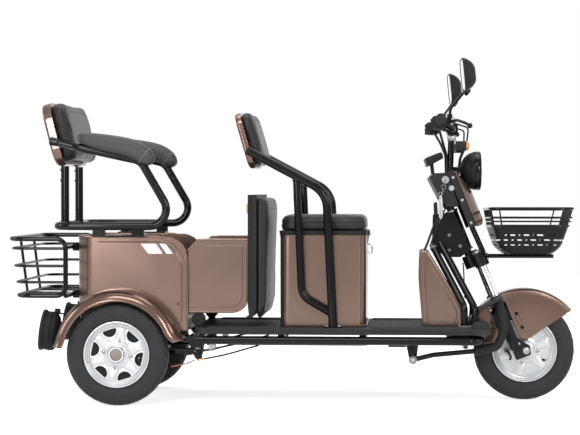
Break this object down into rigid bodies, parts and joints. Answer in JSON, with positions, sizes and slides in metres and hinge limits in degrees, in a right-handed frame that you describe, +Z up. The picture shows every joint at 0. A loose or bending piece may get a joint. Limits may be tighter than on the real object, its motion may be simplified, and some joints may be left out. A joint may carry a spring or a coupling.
{
  "type": "electric cargo and passenger tricycle",
  "caption": "Electric tricycle with a driver's seat, a flip-forward passenger bench over a cargo box, armrests, and front and rear baskets.",
  "frame": {"origin": "on the ground, under the middle of the vehicle's length and width", "axes": "+X forward, +Y to the vehicle's left, +Z up"},
  "size_m": [2.0297, 0.7936, 1.2227],
  "materials": {
    "frame_black": "gloss",
    "rubber_black": "matte",
    "battery": "matte",
    "plastic_black": "matte",
    "leather": "satin",
    "steel": "satin",
    "paint_bronze": "satin",
    "alloy": "polished",
    "tyre": "matte",
    "lens_clear": "clear",
    "chrome": "polished",
    "lens_red": "clear"
  },
  "bodies": {
    "chassis": {"armrest_frame": "frame_black", "armrest_pads": "rubber_black", "battery_pack": "battery", "bench_hinge_pins": "steel", "bench_rest": "rubber_black", "brake_cables": "rubber_black", "brake_pedal": "frame_black", "driver_arm_frame": "frame_black", "driver_backrest_cushion": "leather", "driver_backrest_shell": "paint_bronze", "driver_seat_box": "paint_bronze", "floor_frame": "frame_black", "floorboard": "rubber_black", "front_frame": "frame_black", "leg_shield_box": "paint_bronze", "rear_axle": "frame_black", "rear_backrest_cushion": "leather", "rear_backrest_shell": "paint_bronze", "rear_basket": "frame_black", "rear_box": "paint_bronze", "rear_fenders": "paint_bronze", "rear_subframe": "frame_black", "seat_lid_hinge": "steel", "shock_absorbers": "steel", "swing_arms": "frame_black", "tail_light_lenses": "lens_red", "tail_lights": "plastic_black"},
    "steering": {"fork": "frame_black", "front_axle": "steel", "front_fender": "paint_bronze", "handlebar": "frame_black", "grips": "rubber_black", "switch_boxes": "plastic_black", "brake_levers": "frame_black", "mirror_stems": "frame_black", "mirrors": "plastic_black", "headlight": "frame_black", "headlight_lens": "lens_clear", "turn_signals": "plastic_black", "cowl_cover": "paint_bronze", "cowl_shell": "plastic_black", "dash_panel": "plastic_black", "ignition_lock": "chrome", "display": "plastic_black", "basket_bracket": "frame_black", "front_basket": "frame_black", "handlebar_cables": "rubber_black"},
    "front_wheel": {"front_rim": "alloy", "front_tyre": "tyre"},
    "rear_wheel_right": {"rear_rim_right": "alloy", "rear_tyre_right": "tyre"},
    "rear_wheel_left": {"rear_rim_left": "alloy", "rear_tyre_left": "tyre"},
    "bench": {"bench_tub": "paint_bronze", "bench_base_plate": "plastic_black", "bench_cushion": "leather"},
    "seat_lid": {"driver_seat_lid": "plastic_black", "driver_seat_cushion": "leather"}
  },
  "joints": [
    {"name": "steering_turn", "type": "hinge", "parent": "chassis", "child": "steering", "pos_m": [0.603, 0, 0.6], "axis": [-0.3714, 0, 0.9285], "range_deg": [-38, 32]},
    {"name": "front_wheel_spin", "type": "hinge", "parent": "steering", "child": "front_wheel", "pos_m": [0.83193, 0.00302, 0.18297], "axis": [-0.0486, 0.9986, -0.0194], "continuous": true},
    {"name": "rear_wheel_right_spin", "type": "hinge", "parent": "chassis", "child": "rear_wheel_right", "pos_m": [-0.618, -0.284, 0.183], "axis": [0, 1, 0], "continuous": true},
    {"name": "rear_wheel_left_spin", "type": "hinge", "parent": "chassis", "child": "rear_wheel_left", "pos_m": [-0.618, 0.284, 0.183], "axis": [0, 1, 0], "continuous": true},
    {"name": "bench_flip", "type": "hinge", "parent": "chassis", "child": "bench", "pos_m": [-0.405, 0, 0.362], "axis": [0, -1, 0], "range_deg": [0, 90]},
    {"name": "seat_lid_hinge", "type": "hinge", "parent": "chassis", "child": "seat_lid", "pos_m": [0.268, 0, 0.603], "axis": [0, 1, 0], "range_deg": [0, 80]}
  ]
}
